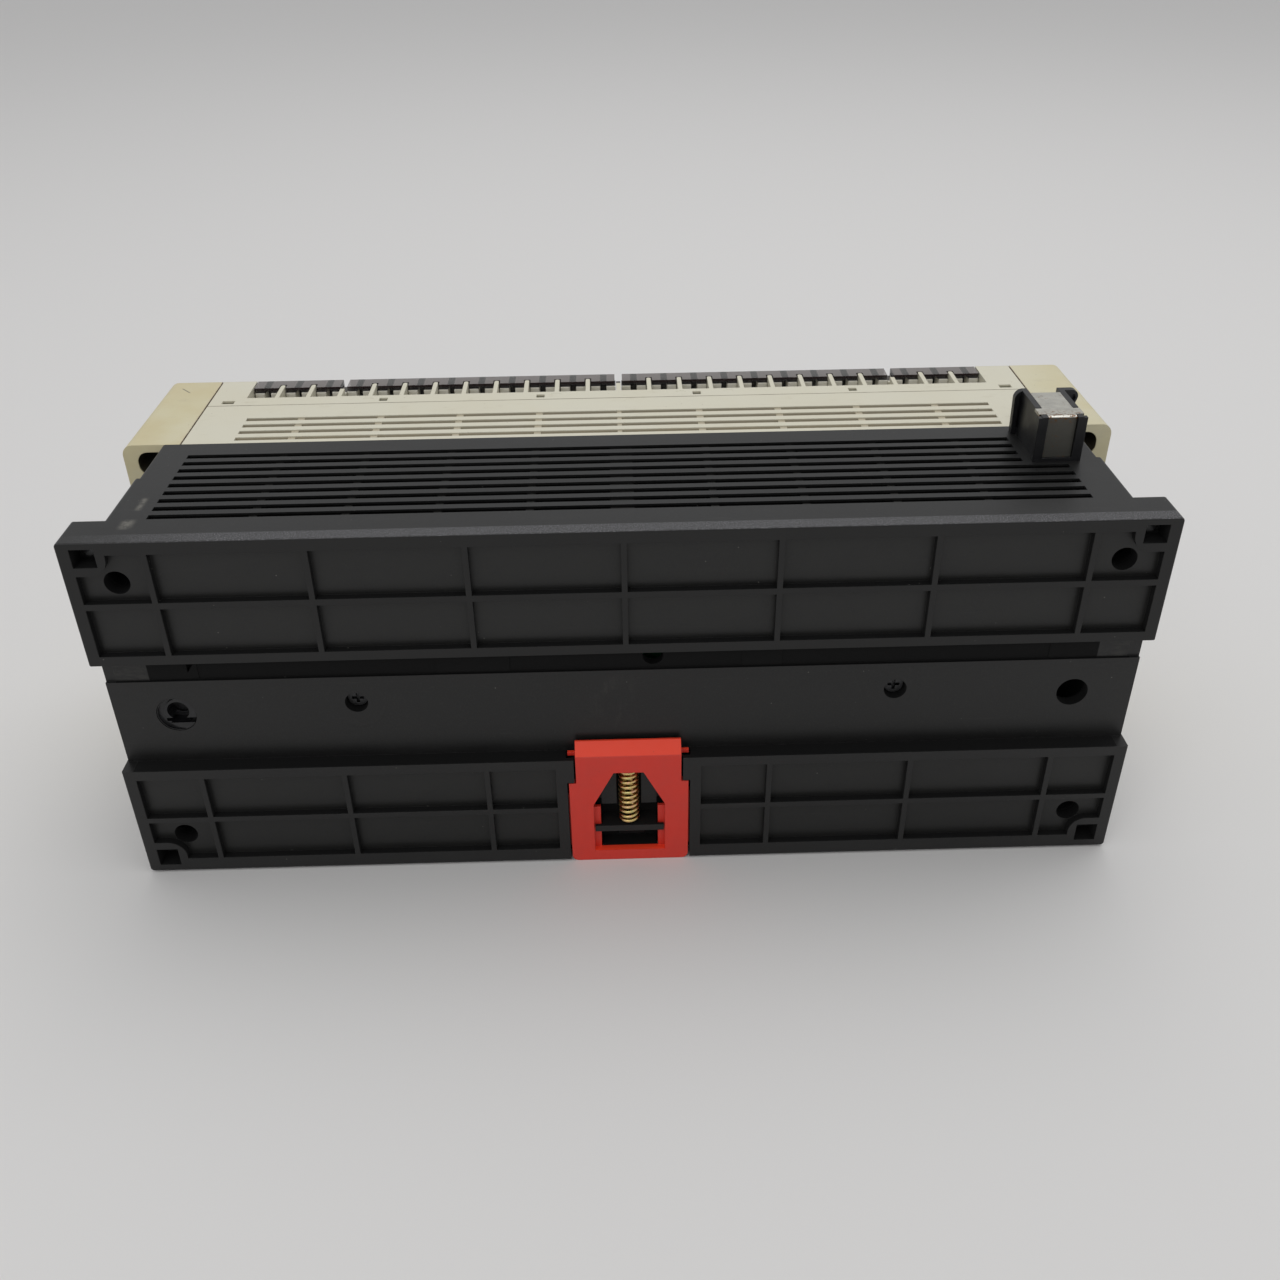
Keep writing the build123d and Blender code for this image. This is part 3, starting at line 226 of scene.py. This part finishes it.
def dark_housing():
    """Charcoal moulded plastic: satin, dusty, with painted sheen on the band along its upper rear edge and
    painted black shade in its recesses.
    """
    s = Surface("dark_housing", (0.0105, 0.0104, 0.0103), 0.36, ior=1.42)
    height = top / MM
    edge = s.edges(0.12)
    cloud = s.step(s.noise(26.0, 4.0, 0.6, (1.6, 1.0, 0.8)), 0.35, 0.7)
    s.tint(s.math("MULTIPLY", cloud, 0.5), (0.015, 0.0148, 0.0145))
    s.roughen(cloud, 0.43)
    s.tint(s.step(s.noise(1.1, 3.0, 0.7), 0.5, 0.75, 0.0, 0.5), (0.018, 0.018, 0.0175))
    s.tint(s.step(s.noise(0.4, 2.0, 0.8), 0.5, 0.68, 0.0, 0.5), (0.024, 0.024, 0.0235))
    rubs = s.step(s.noise(1.6, 5.0, 0.65, (14.0, 3.0, 1.0)), 0.6, 0.72)
    s.tint(s.math("MULTIPLY", rubs, 0.25), (0.03, 0.029, 0.027))
    worn = s.both(edge, s.step(s.noise(3.0, 4.0, 0.7), 0.5, 0.62))
    s.tint(s.math("MULTIPLY", worn, 0.5), (0.07, 0.068, 0.064))

    # coarse band on the upper face, above the rail channel: painted sheen, with painted glints on its grit,
    # fading out towards the left end
    ragged = s.math("ADD", s.x, s.math("MULTIPLY", s.noise(6.0, 4.0, 0.7), 40.0))
    band = s.both(s.area(depth=(-1.0, 4.2), z=(height - 0.6, height + 1.0), soft=0.3),
                  s.step(ragged, -125.0, -80.0, 0.12, 1.0))
    grit_and_glints = s.noise(0.3, 2.0, 0.85)
    s.tint(s.math("MULTIPLY", band, 0.9), (0.042, 0.041, 0.043))
    s.tint(s.both(band, s.step(grit_and_glints, 0.52, 0.64)), (0.25, 0.25, 0.265))
    s.roughen(band, 0.5)

    # faintly rubbed pads where the rail's upper edge runs, and a smear in the channel above the latch
    groove = s.area(depth=(4.5, 6.2), z=(65.2, 77.0))
    spans = [(-140.0, -116.8), (-52.3, -31.8), (31.8, 43.2), (116.8, 140.0)]
    pads = s.both(groove, s.either(*[s.within(s.x, *span) for span in spans]))
    scratches = s.step(s.noise(1.0, 5.0, 0.7, (3.0, 1.0, 1.0)), 0.4, 0.68)
    s.tint(s.both(pads, scratches, s.step(s.noise(7.0), 0.35, 0.65, 0.2, 0.7)), (0.034, 0.033, 0.029))
    smear = s.both(s.area(x=(-9.0, 1.0), depth=(4.0, 6.0), z=(47.0, 62.0), soft=3.0),
                   s.step(s.noise(3.0, 4.0, 0.6, (1.0, 1.0, 2.5)), 0.45, 0.65))
    s.tint(s.math("MULTIPLY", smear, 0.4), (0.06, 0.056, 0.05))

    # painted shade and light on the back: the rib faces a little darker, the pocket floors between them
    # patchily lighter
    rearward = s.step(s.facing[1], -0.6, -0.9)
    ribs = s.both(rearward, s.step(s.depth, 0.4, 0.2), s.area(z=(64.0, height)))
    s.tint(ribs, (0.0085, 0.0084, 0.0082))
    floors = s.both(rearward, s.area(depth=(0.6, 4.0)), s.step(s.noise(5.0), 0.3, 0.6, 0.3, 0.7))
    s.tint(floors, (0.0150, 0.0150, 0.0140))

    # painted black shade in the corners of pockets, channel and slots, and all over the inside
    out_of_sight = s.area(x=(-130.6, 130.6), depth=(5.5, 61.0), z=(2.0, height - 1.2), soft=0.15)
    rear_walls = s.both(s.area(x=(-139.7, 139.7), depth=(0.3, 6.2), z=(2.5, height - 1.4), soft=0.15),
                        s.step(s.math("ABSOLUTE", s.facing[1]), 0.6, 0.3))
    pad = s.area(x=(-3.4, 4.5), depth=(5.0, 6.6), z=(4.6, 9.6), soft=0.1)
    dirt_and_shade = s.both(s.either(out_of_sight, rear_walls), s.math("SUBTRACT", 1.0, pad))
    s.tint(s.math("MULTIPLY", dirt_and_shade, 0.94), SHADE_BLACK)
    s.roughen(dirt_and_shade, 0.95)

    # cooling slots: painted black shade on their walls, a grey tone and a rougher finish on the bars between
    # them
    slots = s.area(x=(-123.6, 123.6), depth=(12.4, 52.6), soft=0.2)
    bars = s.both(slots, s.area(z=(height - 1.2, height - 0.5), soft=0.15), s.step(s.facing[2], 0.5, 0.8))
    sides = s.both(slots, s.area(z=(height - 1.4, height - 0.6), soft=0.1), s.step(s.facing[2], 0.8, 0.5))
    s.tint(s.math("MULTIPLY", sides, 0.94), SHADE_BLACK)
    s.tint(s.math("MULTIPLY", bars, 0.85), (0.0160, 0.0155, 0.0135))
    s.roughen(bars, 0.7)
    louvres = s.both(slots, s.area(z=(height - 0.3, height + 1.0), soft=0.15))
    s.tint(s.math("MULTIPLY", louvres, 0.4), (0.0070, 0.0078, 0.0082))

    # two pale smudges on the upper face near the left end, and dust specks everywhere
    upper = (height - 1.0, height + 1.0)
    chalk = s.either(s.area(x=(-128.9, -126.1), depth=(7.6, 12.2), z=upper, soft=1.1),
                     s.area(x=(-127.8, -126.6), depth=(18.0, 25.0), z=upper, soft=0.8))
    s.tint(s.both(chalk, s.step(s.noise(1.2, 3.0, 0.7), 0.3, 0.6, 0.15, 0.6)), (0.22, 0.21, 0.18))
    s.tint(s.both(s.specks(0.35, 0.05), s.step(s.noise(9.0), 0.45, 0.6)), (0.16, 0.155, 0.14))

    # sink marks round the channel screws, fine grain, and the coarse band
    sink = s.either(*[s.ring(x, 56.5, 8.0, 0.7) for x in (-75.2, 75.2)])
    channel = s.area(depth=(4.5, 5.6), z=(40.0, 65.0))
    s.bump(s.both(sink, channel), 0.05, 0.6)
    s.bump(s.noise(0.42, 2.0, 0.6), 0.012, 0.9)
    s.bump(s.both(band, grit_and_glints), 0.08, 0.9)
    return s.done()


def black_plastic():
    """Black moulded plastic with a fine grain."""
    s = Surface("black_plastic", (0.006, 0.006, 0.007), 0.34)
    edge = s.edges(0.2)
    s.tint(s.step(s.noise(4.0, 4.0, 0.6), 0.4, 0.7, 0.0, 0.6), (0.013, 0.013, 0.014))
    s.tint(s.both(edge, s.step(s.noise(1.5, 3.0, 0.7), 0.45, 0.6, 0.0, 0.5)), (0.05, 0.05, 0.05))
    s.roughen(s.step(s.noise(6.0), 0.3, 0.7), 0.46)
    s.bump(s.noise(0.3, 2.0), 0.008, 0.8)
    return s.done()


def cream_plastic(name, fresh, aged, yellowing):
    """Ivory casing plastic that yellows unevenly with age."""
    s = Surface(name, fresh, 0.4)
    edge = s.edges(0.3)
    patches = s.step(s.noise(30.0, 3.0, 0.6), 0.35, 0.68, yellowing * 0.3, yellowing)
    s.tint(patches, aged)
    dirt_and_shade = s.step(s.noise(5.0, 5.0, 0.7, (2.0, 1.0, 1.0)), 0.56, 0.76, 0.0, 0.35)
    s.tint(dirt_and_shade, (0.50, 0.45, 0.32))
    s.tint(s.both(edge, s.step(s.noise(2.0, 4.0, 0.7), 0.5, 0.62, 0.0, 0.4)), (0.42, 0.37, 0.26))
    s.tint(s.math("MULTIPLY", s.specks(0.4, 0.05), 0.5), (0.22, 0.18, 0.12))
    s.roughen(s.step(s.noise(9.0, 3.0), 0.3, 0.7), 0.5)
    s.bump(s.noise(0.35, 2.0), 0.008, 0.7)
    return s, edge


def cream():
    """Casing: brown grime in the seams, painted brown shade in the slots, darker on the inside of the
    windows, painted light on the comb posts and painted shadow on their tops.
    """
    s, _ = cream_plastic("cream_plastic", (0.70, 0.675, 0.555), (0.66, 0.61, 0.45), 0.35)
    height = top / MM
    patchy = s.step(s.noise(3.0, 4.0, 0.7, (4.0, 1.0, 1.0)), 0.35, 0.6, 0.35, 1.0)
    upper = s.area(z=(height - 1.0, height + 1.0))
    seam = s.both(upper, s.within(s.depth, 88.75, 89.05, 0.12), patchy)
    ends = s.both(upper, s.within(s.math("ABSOLUTE", s.x), 127.6, 128.2, 0.08))
    s.tint(s.math("MULTIPLY", s.either(seam, ends), 0.8), (0.16, 0.10, 0.06))
    # painted brown shade inside the slots
    slots = s.area(x=(-113.2, 113.2), depth=(61.8, 79.0), z=(2.0, height - 0.3), soft=0.12)
    s.tint(s.math("MULTIPLY", slots, 0.6), (0.36, 0.29, 0.19))
    # darker and browner on the inside of the windows
    windows = s.area(depth=(90.2, 93.2), z=(2.0, height - 0.5), soft=0.15)
    s.tint(s.math("MULTIPLY", windows, 0.7), (0.22, 0.20, 0.14))
    # painted light: the comb posts painted paler
    s.tint(s.area(x=(-117.0, 117.0), depth=(102.6, 108.3), z=(105.0, 109.3)), (0.85, 0.82, 0.72))
    # painted shadow on the comb post tops under the cover
    s.tint(s.area(x=(-117.0, 117.0), depth=(103.6, 108.3), z=(108.9, 109.4), soft=0.15), (0.03, 0.022, 0.02))
    return s.done()


def aged_cream():
    """End caps: yellower than the rest, with a dark scrape on the left one, grime in the seams and painted
    shade in the tunnels.
    """
    s, _ = cream_plastic("aged_cream_plastic", (0.69, 0.65, 0.48), (0.62, 0.55, 0.30), 0.5)
    away = s.math("ABSOLUTE", s.x)
    height = top / MM
    outward = s.step(away, 128.0, 146.0)
    s.tint(s.both(outward, s.step(s.noise(12.0, 4.0, 0.6), 0.35, 0.65, 0.1, 0.45)), (0.60, 0.52, 0.28))
    s.tint(s.both(s.step(s.x, -100.0, 100.0, 0.55, 0.0), s.step(s.noise(16.0), 0.3, 0.7)), (0.60, 0.51, 0.29))
    seam = s.both(s.within(away, 127.0, 128.15, 0.08), s.step(s.noise(2.0, 4.0), 0.3, 0.5, 0.5, 1.0))
    s.tint(s.math("MULTIPLY", seam, 0.85), (0.12, 0.06, 0.04))
    # painted brown-black shade inside the screwdriver tunnels
    mirrored = s.math("ABSOLUTE", s.math("SUBTRACT", s.z, height / 2))
    tunnel = s.both(s.within(away, 133.6, 141.4, 0.1), s.within(mirrored, 45.7, 53.3, 0.1),
                    s.area(depth=(60.4, 109.0), soft=0.3))
    s.tint(s.math("MULTIPLY", tunnel, 0.93), (0.030, 0.022, 0.014))
    slant = s.math("ADD", s.x, s.math("MULTIPLY", s.depth, 0.9))
    scrape = s.both(s.within(slant, -45.9, -45.5, 0.25), s.area(depth=(100.6, 104.2), soft=0.4))
    s.tint(s.both(scrape, s.math("LESS_THAN", s.x, 0.0)), (0.06, 0.05, 0.04))
    return s.done()


def red_plastic():
    """Red moulded latch, slightly scuffed, with a painted highlight on the upward faces of its bevelled nose.
    """
    s = Surface("red_plastic", (0.68, 0.036, 0.020), 0.42)
    edge = s.edges(0.2)
    s.tint(s.step(s.noise(8.0, 4.0, 0.6), 0.35, 0.7, 0.0, 0.5), (0.60, 0.040, 0.026))
    # painted highlight: the upward faces of the nose and its ledge are painted bright orange-red
    nose = s.either(s.area(z=(39.0, 43.0), soft=0.15), s.area(depth=(0.3, 2.5), z=(3.0, 4.1), soft=0.1))
    s.tint(s.both(nose, s.step(s.facing[2], 0.3, 0.6)), (0.98, 0.062, 0.022))
    s.tint(s.both(edge, s.step(s.noise(2.0, 4.0, 0.7), 0.4, 0.6, 0.0, 0.5)), (0.80, 0.10, 0.06))
    s.tint(s.math("MULTIPLY", s.specks(0.3, 0.05), 0.4), (0.20, 0.02, 0.015))
    s.roughen(s.step(s.noise(3.0, 4.0, 0.6), 0.35, 0.7), 0.52)
    s.bump(s.noise(0.35, 2.0), 0.010, 0.8)
    return s.done()


def smoke_plastic():
    """Terminal covers: smoke-tinted, with paler squares painted where the comb under them shows through and
    painted shade over the gaps between the posts.
    """
    s = Surface("smoke_plastic", (0.030, 0.027, 0.025), 0.09)
    edge = s.edges(0.2)
    height = top / MM
    mirrored = s.math("ABSOLUTE", s.math("SUBTRACT", s.z, height / 2))
    s.roughen(s.step(s.noise(2.0, 5.0, 0.7, (4.0, 1.0, 1.0)), 0.5, 0.7), 0.2)
    s.tint(s.step(s.noise(7.0, 4.0, 0.6), 0.4, 0.7, 0.0, 0.4), (0.045, 0.040, 0.036))
    s.tint(s.both(edge, s.step(s.noise(2.0, 3.0), 0.45, 0.6, 0.0, 0.4)), (0.10, 0.09, 0.08))
    lip = s.step(mirrored, height / 2 - 1.0, height / 2 - 0.6)
    over_comb = s.both(lip, s.step(s.math("ABSOLUTE", s.facing[2]), 0.5, 0.8))
    across = s.math("FLOORED_MODULO", s.x, TERMINAL_PITCH)
    gap = s.within(across, *COMB_GAP, 0.25)
    # paler squares painted on the cover over the comb posts, painted shade over the gaps between them
    s.tint(over_comb, (0.26, 0.235, 0.225))
    s.tint(s.both(over_comb, gap), (0.09, 0.09, 0.085))
    rear_edge = s.both(lip, s.step(s.facing[1], -0.5, -0.9))
    s.tint(rear_edge, (0.036, 0.024, 0.024))
    front_shade = s.both(s.step(s.depth, 108.3, 108.7), s.within(mirrored, 49.0, height / 2 - 0.6))
    s.tint(front_shade, (0.007, 0.005, 0.004))
    opaque = s.either(rear_edge, front_shade, s.math("MULTIPLY", over_comb, 0.6))
    s.feed(s.shader.inputs["Alpha"], s.math("ADD", 0.42, s.math("MULTIPLY", opaque, 0.5)))
    return s.done()


def clear_plastic(name, colour, roughness):
    """Tinted transparent plastic with fine scratches."""
    s = Surface(name, colour, roughness)
    s.edges(0.2)
    s.roughen(s.step(s.noise(2.0, 5.0, 0.7, (4.0, 1.0, 1.0)), 0.5, 0.7), roughness + 0.10)
    s.tint(s.step(s.noise(7.0, 4.0, 0.6), 0.4, 0.7, 0.0, 0.3), tuple(0.85 * c for c in colour))
    return s.done(Transmission_Weight=1.0)


def metal(name, colour, roughness, grain=(1.0, 1.0, 1.0), rust=0.0, shade=0.75):
    """Plated or rolled metal: drawn grain, dull patches, and rust where it is asked for."""
    s = Surface(name, colour, roughness, metallic=1.0)
    edge = s.edges(0.12)
    lines = s.noise(0.35, 3.0, 0.6, grain)
    s.tint(s.step(lines, 0.35, 0.7, 0.0, 0.6), tuple(shade * c for c in colour))
    s.roughen(s.step(s.noise(2.2, 4.0, 0.6), 0.35, 0.7), min(roughness + 0.18, 1.0))
    if rust:
        spots = s.step(s.noise(1.3, 5.0, 0.75), 0.66 - 0.12 * rust, 0.74 - 0.08 * rust)
        s.tint(spots, (0.26, 0.12, 0.05))
        s.roughen(spots, 0.8)
    s.tint(s.math("MULTIPLY", edge, 0.4), tuple(min(1.2 * c, 0.95) for c in colour))
    s.bump(lines, 0.004, 0.7)
    return s.done()


def aluminium_sheet():
    """Rolled sheet: painted dark reflection and a duller finish where it faces the rear, a painted highlight
    along the bend, rust-spotted beside it.
    """
    s = Surface("aluminium_sheet", (0.56, 0.55, 0.50), 0.38, metallic=1.0)
    s.edges(0.12)
    lines = s.noise(0.35, 3.0, 0.6, (5.0, 1.0, 1.0))
    s.tint(s.step(lines, 0.35, 0.7, 0.0, 0.5), (0.44, 0.43, 0.39))
    low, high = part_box("bus_shield")
    shield = s.area(x=(low.x / MM - 1, high.x / MM + 1), depth=(35.0, 56.0), z=(top / MM, high.z / MM + 1))
    # painted dark reflection on the faces towards the rear
    rearward = s.both(shield, s.step(s.facing[1], -0.5, -0.8))
    s.tint(s.math("MULTIPLY", rearward, 0.9), (0.115, 0.112, 0.098))
    s.roughen(rearward, 0.6)
    near_bend = s.both(shield, s.step(s.depth, 42.0, 36.5), s.step(s.z, high.z / MM - 2.5, high.z / MM - 0.4))
    spots = s.step(s.noise(1.0, 5.0, 0.75), 0.50, 0.58)
    s.tint(s.both(near_bend, spots), (0.22, 0.10, 0.04))
    s.tint(s.both(shield, s.step(s.noise(1.6, 5.0, 0.75), 0.60, 0.66, 0.0, 0.8)), (0.24, 0.13, 0.07))
    # painted highlight along the bend
    bend = s.both(shield, s.step(s.facing[1], -0.25, -0.45), s.step(s.facing[2], 0.25, 0.45))
    s.tint(s.both(bend, s.step(spots, 0.7, 0.3)), (0.95, 0.93, 0.86))
    s.roughen(s.step(s.noise(2.2, 4.0, 0.6), 0.35, 0.7), 0.55)
    s.bump(lines, 0.004, 0.7)
    return s.done()


def spring_steel():
    """Yellow zinc plating, which shifts between straw, pink and green."""
    s = Surface("spring_steel", (0.78, 0.58, 0.24), 0.27, metallic=1.0)
    hue = s.noise(1.7, 3.0, 0.6)
    s.tint(s.step(hue, 0.52, 0.66, 0.0, 0.8), (0.78, 0.44, 0.30))
    s.tint(s.step(hue, 0.48, 0.36, 0.0, 0.6), (0.60, 0.62, 0.28))
    s.roughen(s.step(s.noise(0.8), 0.4, 0.7), 0.42)
    s.bump(s.noise(0.2, 2.0), 0.004, 0.6)
    return s.done()


def circuit_board():
    """Green solder resist with copper tracks under it and tinned pads."""
    s = Surface("circuit_board", (0.018, 0.13, 0.05), 0.34)
    s.edges(0.1)
    tracks = s.nodes.new("ShaderNodeTexBrick")
    flat = s.nodes.new("ShaderNodeCombineXYZ")
    s.feed(flat.inputs[0], s.x)
    s.feed(flat.inputs[1], s.z)
    s.feed(tracks.inputs["Vector"], flat.outputs[0])
    for name, number in (("Scale", 0.2), ("Mortar Size", 0.06), ("Brick Width", 2.6), ("Row Height", 0.36)):
        tracks.inputs[name].default_value = number
    s.tint(s.math("MULTIPLY", tracks.outputs["Fac"], 0.75), (0.05, 0.26, 0.09))
    pads = s.specks(0.7, 0.4)
    s.tint(pads, (0.55, 0.54, 0.50))
    s.tint(s.step(s.noise(14.0, 4.0, 0.6), 0.4, 0.7, 0.0, 0.4), (0.012, 0.09, 0.04))
    s.bump(s.either(tracks.outputs["Fac"], pads), 0.03, 0.8)
    return s.done()


def painted(name, colour, roughness, patch=4.0, shade=0.6, grain=0.01):
    """Plain moulded, wrapped or sleeved part: patches of shade, worn edges, fine grain."""
    s = Surface(name, colour, roughness)
    edge = s.edges(0.2)
    s.tint(s.step(s.noise(patch, 4.0, 0.6), 0.35, 0.7, 0.0, 0.7), tuple(shade * c for c in colour))
    worn = s.both(edge, s.step(s.noise(1.5, 3.0), 0.45, 0.6, 0.0, 0.4))
    s.tint(worn, tuple(min(1.0, 1.7 * c) for c in colour))
    s.roughen(s.step(s.noise(patch * 0.7), 0.3, 0.7), roughness + 0.12)
    s.bump(s.noise(0.4, 2.0), grain, 0.8)
    return s.done()


def laminations():
    """Varnished transformer sheets, stacked along the depth."""
    s = Surface("core_steel", (0.16, 0.145, 0.13), 0.42, metallic=0.7)
    s.edges(0.15)
    layers = s.math("SINE", s.math("MULTIPLY", s.depth, 2 * pi / 0.9))
    s.tint(s.step(layers, -0.2, 0.9, 0.0, 0.7), (0.06, 0.05, 0.045))
    s.tint(s.step(s.noise(6.0, 4.0), 0.5, 0.7, 0.0, 0.5), (0.13, 0.07, 0.03))
    s.bump(layers, 0.05, 0.8)
    return s.done()


def ribbon():
    """Flat cable: parallel grey cores."""
    s = Surface("cable_grey", (0.34, 0.34, 0.35), 0.45)
    cores = s.math("SINE", s.math("MULTIPLY", s.x, 2 * pi / 1.27))
    s.tint(s.step(cores, 0.2, -1.0, 0.0, 0.8), (0.12, 0.12, 0.125))
    s.tint(s.step(s.noise(5.0), 0.45, 0.7, 0.0, 0.4), (0.27, 0.26, 0.24))
    s.bump(cores, 0.2, 0.8)
    return s.done()


materials = {
    "dark_housing": dark_housing(),
    "black_plastic": black_plastic(),
    "cream_plastic": cream(),
    "aged_cream_plastic": aged_cream(),
    "red_plastic": red_plastic(),
    "smoke_plastic": smoke_plastic(),
    "led_window": clear_plastic("led_window", (0.30, 0.035, 0.03), 0.08),
    "fuse_glass": clear_plastic("fuse_glass", (0.85, 0.88, 0.87), 0.03),
    "red_lens": painted("red_lens", (0.50, 0.03, 0.02), 0.2, grain=0.002),
    "spring_steel": spring_steel(),
    "zinc_steel": metal("zinc_steel", (0.58, 0.58, 0.55), 0.32, rust=0.3),
    "black_steel": metal("black_steel", (0.07, 0.07, 0.072), 0.42),
    "terminal_metal": metal("terminal_metal", (0.62, 0.60, 0.54), 0.3, (1.0, 1.0, 6.0)),
    "brass": metal("brass", (0.68, 0.50, 0.20), 0.28, (1.0, 5.0, 1.0)),
    "aluminium_sheet": aluminium_sheet(),
    "circuit_board": circuit_board(),
    "core_steel": laminations(),
    "winding_tape": painted("winding_tape", (0.55, 0.38, 0.07), 0.4, shade=0.75),
    "capacitor_sleeve": painted("capacitor_sleeve", (0.02, 0.03, 0.09), 0.3),
    "relay_case": painted("relay_case", (0.035, 0.036, 0.04), 0.35),
    "cable_grey": ribbon(),
}
for name, piece in nodes.items():
    piece.data.materials.clear()
    piece.data.materials.append(materials[slot_of[name]])


# ---------------------------------------------------------------- pieces made here
def finished(piece, body, slot):
    """Give a new piece its material and body."""
    piece.data.materials.append(materials[slot])
    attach(piece, body)
    return piece


def mesh_piece(name, build):
    """New object whose mesh is made by build(bm)."""
    mesh = bpy.data.meshes.new(name)
    bm = bmesh.new()
    build(bm)
    bm.to_mesh(mesh)
    bm.free()
    piece = bpy.data.objects.new(name, mesh)
    bpy.context.scene.collection.objects.link(piece)
    return piece


def tube(bm, centres, radius, sides=12):
    """Closed round bar along a line of points."""
    rings = []
    side = None
    for i, centre in enumerate(centres):
        ahead = centres[min(i + 1, len(centres) - 1)] - centres[max(i - 1, 0)]
        ahead.normalize()
        guide = side if side is not None else ahead.orthogonal()
        side = (guide - ahead * guide.dot(ahead)).normalized()
        up = ahead.cross(side)
        corners = [2 * pi * k / sides for k in range(sides)]
        rings.append([bm.verts.new(centre + radius * (cos(a) * side + sin(a) * up)) for a in corners])
    for first, second in zip(rings, rings[1:]):
        for k in range(sides):
            face = bm.faces.new((first[k], first[(k + 1) % sides], second[(k + 1) % sides], second[k]))
            face.smooth = True
    bm.faces.new(list(reversed(rings[0])))
    bm.faces.new(rings[-1])


def coil_spring():
    """Compression spring with a closed turn at each end, in place of the plain CAD helix."""
    low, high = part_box("latch_spring")
    wire = 0.48 * MM
    centre = (low + high) / 2
    mean_radius = (high.x - low.x) / 2 - wire
    open_turns, closed_turns, per_turn = 9.5, 1.0, 40
    turns = open_turns + 2 * closed_turns
    closed_pitch = 2.05 * wire
    open_pitch = (high.z - low.z - 2 * wire - 2 * closed_turns * closed_pitch) / open_turns
    points = []
    for i in range(int(turns * per_turn) + 1):
        turn = i / per_turn
        first = min(turn, closed_turns)
        last = max(turn - closed_turns - open_turns, 0.0)
        rise = (first + last) * closed_pitch + (turn - first - last) * open_pitch
        angle = 2 * pi * turn
        points.append(Vector((centre.x + mean_radius * cos(angle), centre.y + mean_radius * sin(angle),
                              low.z + wire + rise)))
    piece = mesh_piece("coil_spring", lambda bm: tube(bm, points, wire))
    finished(piece, "housing", "spring_steel")
    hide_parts("latch_spring")
    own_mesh(piece)
    return piece


def gate_marks():
    """Small raised arcs that the mould left on the strip above the terminal covers."""
    places = ((-78.4, 92.0), (-19.6, 92.6), (19.6, 92.4), (34.6, 92.6))
    half_width, rise, bead, sunk = 1.7 * MM, 1.1 * MM, 0.13 * MM, 0.04 * MM
    angles = [radians(25 + 13 * k) for k in range(11)]

    def build(bm):
        for x, depth in places:
            arc = [Vector((x * MM + half_width * cos(a), rear + depth * MM + rise * sin(a), top - sunk))
                   for a in angles]
            tube(bm, arc, bead, 8)

    return finished(mesh_piece("gate_marks", build), "housing", "cream_plastic")


coil_spring()
gate_marks()


# ---------------------------------------------------------------- floor, light, camera
def studio():
    """Plain pale floor and soft light."""
    bpy.ops.mesh.primitive_plane_add(size=12.0)
    floor = bpy.context.object
    floor.name = "floor"
    paint = bpy.data.materials.new("floor_paint")
    paint.use_nodes = True
    shader = paint.node_tree.nodes["Principled BSDF"]
    shader.inputs["Base Color"].default_value = (0.77, 0.76, 0.75, 1.0)
    shader.inputs["Roughness"].default_value = 0.75
    floor.data.materials.append(paint)

    world = bpy.data.worlds.new("studio")
    world.use_nodes = True
    sky = world.node_tree.nodes["Background"]
    sky.inputs["Color"].default_value = (0.985, 0.99, 1.0, 1.0)
    sky.inputs["Strength"].default_value = 0.53
    bpy.context.scene.world = world

    for name, place, size, power in (("ceiling", (0.25, 0.35, 1.5), 1.3, 7.4),
                                     ("behind_camera", (-0.6, -1.2, 1.3), 1.0, 3.8)):
        light = bpy.data.lights.new(name, "AREA")
        light.size = size
        light.energy = power
        lamp = bpy.data.objects.new(name, light)
        lamp.location = place
        lamp.rotation_euler = (Vector((0, 0, 0.05)) - Vector(place)).to_track_quat("-Z", "Y").to_euler()
        bpy.context.scene.collection.objects.link(lamp)


def camera():
    """Camera at the photograph's angle: from behind the rail side, looking down."""
    lens = bpy.data.cameras.new("camera")
    lens.sensor_width = 36.0
    lens.lens = 35.03
    eye = bpy.data.objects.new("camera", lens)
    place = Vector((-1.744, rear / MM - 278.576, 257.993)) * MM
    pitch, yaw, roll = radians(32.828), radians(-1.138), radians(0.795)
    look_down = Matrix.Rotation(pi / 2 - pitch, 4, "X")
    turn = Matrix.Rotation(yaw, 4, "Z") @ look_down @ Matrix.Rotation(-roll, 4, "Z")
    eye.matrix_world = Matrix.Translation(place) @ turn
    bpy.context.scene.collection.objects.link(eye)
    bpy.context.scene.camera = eye
    bpy.context.scene.view_settings.view_transform = "Standard"


studio()
camera()
